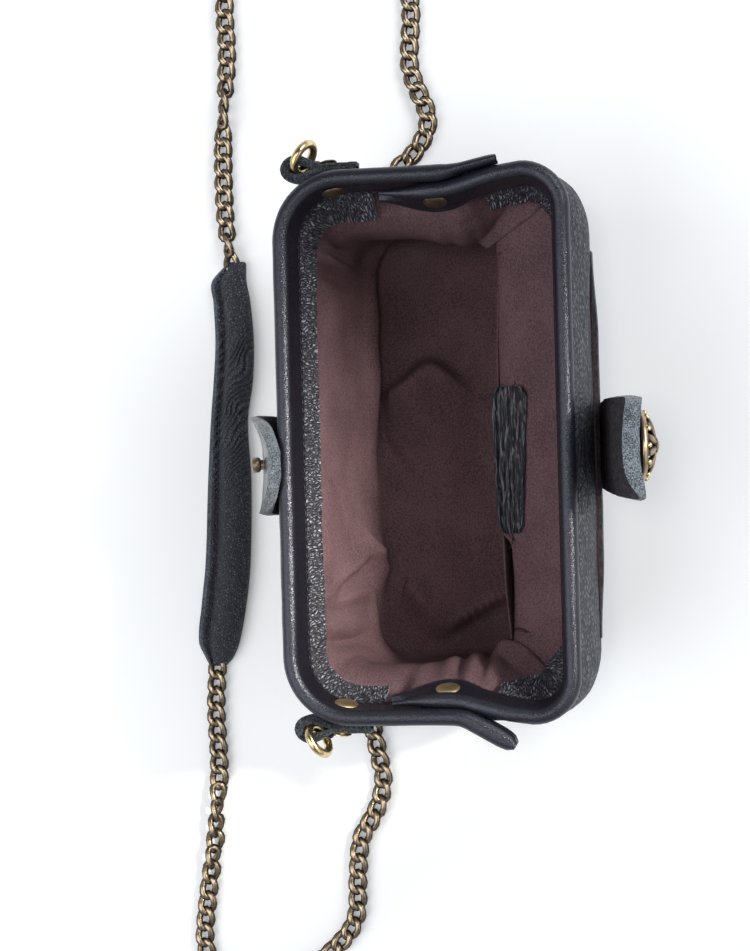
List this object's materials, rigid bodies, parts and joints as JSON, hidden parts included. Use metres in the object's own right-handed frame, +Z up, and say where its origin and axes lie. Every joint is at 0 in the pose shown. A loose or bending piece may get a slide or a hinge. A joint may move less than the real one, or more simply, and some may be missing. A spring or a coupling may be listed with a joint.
{
  "type": "framed clutch bag with chain strap",
  "caption": "Small open-mouthed leather clutch with a two-part hinged frame, cotton lining, snap strap with pierced brass ornament, and a brass curb chain with a leather shoulder pad.",
  "frame": {"origin": "middle of the base, on the floor", "axes": "+Z up, +X along the mouth, +Y towards the back wall that carries the closure strap"},
  "size_m": [0.4447, 0.198, 0.136],
  "materials": {
    "pebbled_leather": "black pebbled grain with a soft sheen",
    "smooth_leather": "black smooth leather with fine grain, satin",
    "raw_leather": "raw cut edge and flesh side, fuzzy blue-grey black",
    "brown_cotton": "plain woven dark brown cotton, matte",
    "black_ribbon": "black ribbed ribbon with frayed ends",
    "brass": "polished pale brass",
    "old_brass": "antique brass with dark recesses"
  },
  "bodies": {
    "root": {"leather_shell": "pebbled_leather", "front_rim": "smooth_leather", "back_rim": "smooth_leather", "front_facing": "pebbled_leather", "back_facing": "pebbled_leather", "lining": "brown_cotton", "inner_pocket": "brown_cotton", "pocket_strip": "black_ribbon", "outer_pocket": "pebbled_leather", "closure_strap": "raw_leather", "stud_tab": "raw_leather", "snap_stud": "brass", "concho": "old_brass", "shoulder_pad": "pebbled_leather", "chain_left": "old_brass", "chain_right": "old_brass", "pivot_rivet_left": "old_brass", "tab_rivet_left": "brass", "ring_tab_left": "raw_leather", "ring_left": "brass", "pivot_rivet_right": "old_brass", "tab_rivet_right": "brass", "ring_tab_right": "raw_leather", "ring_right": "brass"}
  },
  "joints": []
}
